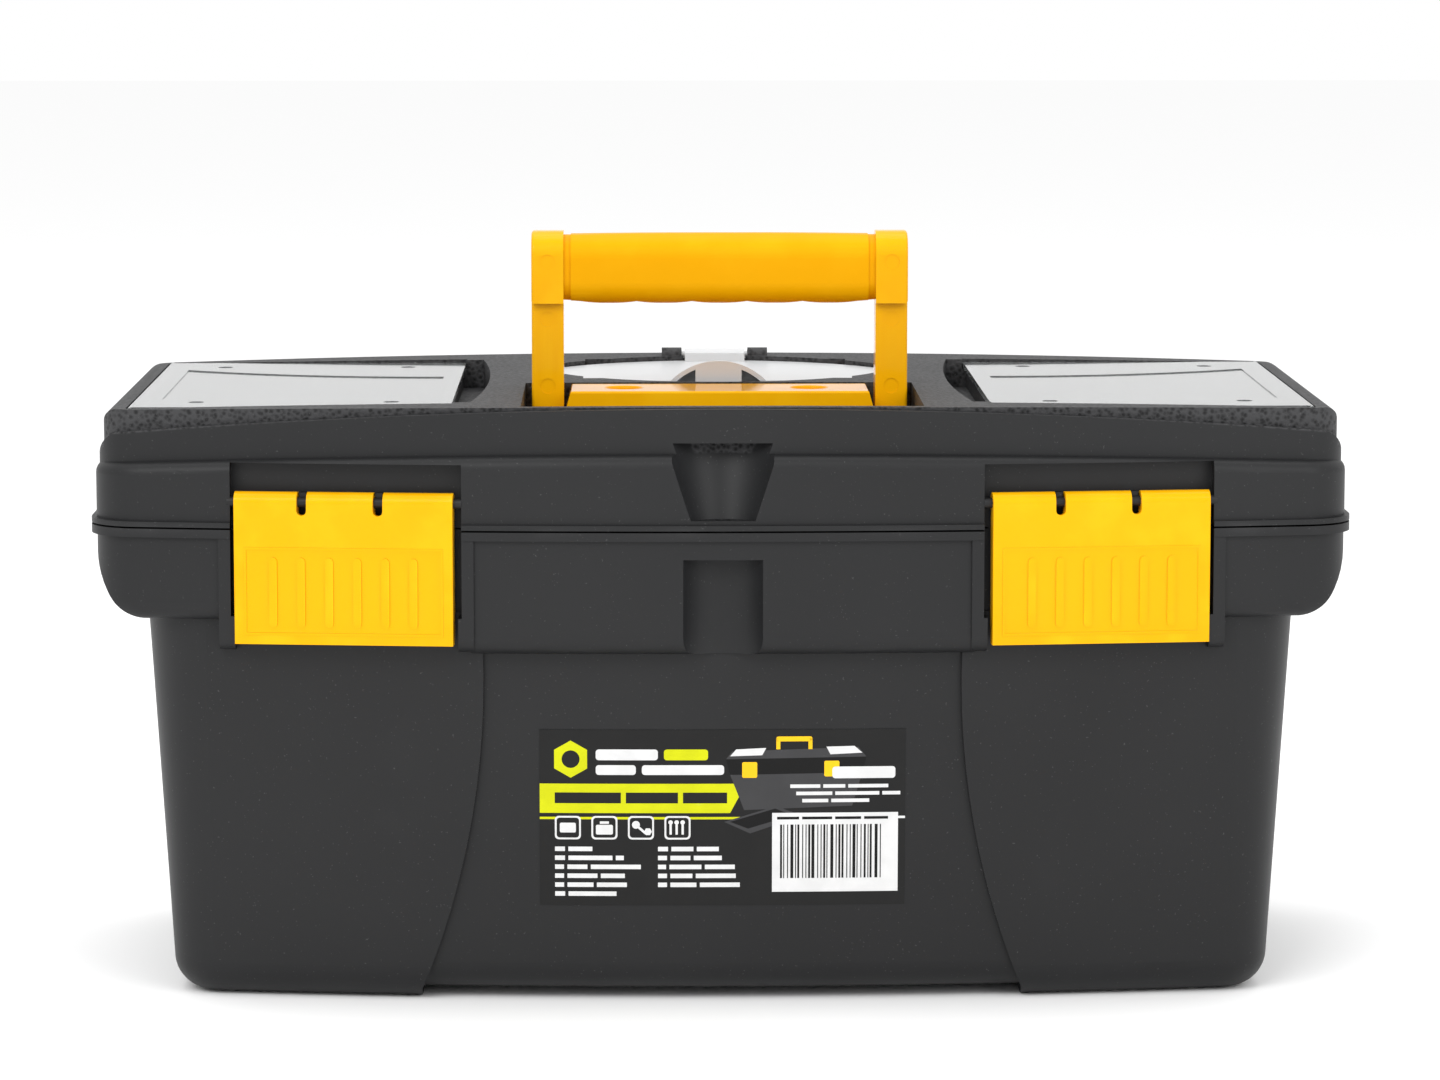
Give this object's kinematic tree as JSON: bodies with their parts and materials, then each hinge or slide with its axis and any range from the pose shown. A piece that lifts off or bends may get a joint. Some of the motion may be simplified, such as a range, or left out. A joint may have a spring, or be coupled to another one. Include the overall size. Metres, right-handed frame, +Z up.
{
  "type": "toolbox",
  "caption": "Black plastic toolbox with yellow latches and handle, clear organizer lids, hinged lid and a lift-out tray",
  "frame": {"origin": "centre of the case's footprint, at the level it stands on", "axes": "X along the case, Y from front to back, Z up"},
  "size_m": [0.411, 0.2178, 0.2486],
  "materials": {
    "black_shell": "fine-grained black polypropylene",
    "tray_plastic": "black polypropylene",
    "yellow_plastic": "satin yellow plastic",
    "yellow_grip": "satin yellow plastic",
    "clear_plastic": "clear polished plastic",
    "milky_plastic": "milky translucent plastic",
    "label_film": "printed film label",
    "steel_pin": "drawn steel"
  },
  "bodies": {
    "base": {"body_shell": "black_shell", "front_label": "label_film", "hinge_pin_left": "steel_pin", "hinge_pin_right": "steel_pin"},
    "lid": {"lid_shell": "black_shell", "handle_base": "yellow_plastic"},
    "latch_l": {"latch_left": "yellow_plastic"},
    "latch_r": {"latch_right": "yellow_plastic"},
    "handle": {"handle_arm_left": "yellow_plastic", "handle_arm_right": "yellow_plastic", "handle_grip": "yellow_grip"},
    "organizer_l": {"organizer_lid_left": "clear_plastic"},
    "organizer_r": {"organizer_lid_right": "clear_plastic"},
    "oval_lid": {"centre_lid": "milky_plastic"},
    "tray_body": {"tray": "tray_plastic"}
  },
  "joints": [
    {"name": "lid_hinge", "type": "hinge", "parent": "base", "child": "lid", "pos_m": [0, 0.1065, 0.157], "axis": [-1, 0, 0], "range_deg": [0, 105]},
    {"name": "latch_left_hinge", "type": "hinge", "parent": "lid", "child": "latch_l", "pos_m": [-0.1219, -0.0978, 0.1657], "axis": [-0.9948, 0.1016, 0], "range_deg": [0, 110]},
    {"name": "latch_right_hinge", "type": "hinge", "parent": "lid", "child": "latch_r", "pos_m": [0.1219, -0.0978, 0.1657], "axis": [-0.9948, -0.1016, 0], "range_deg": [0, 110]},
    {"name": "handle_fold", "type": "hinge", "parent": "lid", "child": "handle", "pos_m": [0, -0.026, 0.186], "axis": [1, 0, 0], "range_deg": [0, 90]},
    {"name": "organizer_left_hinge", "type": "hinge", "parent": "lid", "child": "organizer_l", "pos_m": [-0.1923, 0, 0.1937], "axis": [0, -1, 0], "range_deg": [0, 100]},
    {"name": "organizer_right_hinge", "type": "hinge", "parent": "lid", "child": "organizer_r", "pos_m": [0.1923, 0, 0.1937], "axis": [0, 1, 0], "range_deg": [0, 100]},
    {"name": "oval_lid_hinge", "type": "hinge", "parent": "lid", "child": "oval_lid", "pos_m": [0, 0.0906, 0.1964], "axis": [-1, 0, 0], "range_deg": [0, 95]},
    {"name": "tray_lift", "type": "slide", "parent": "base", "child": "tray_body", "axis": [0, 0, 1], "range_m": [0, 0.065]}
  ],
  "couplings": [
    {"joint": "tray_lift", "follows": "lid_hinge", "m_per_rad": 0.035469}
  ]
}
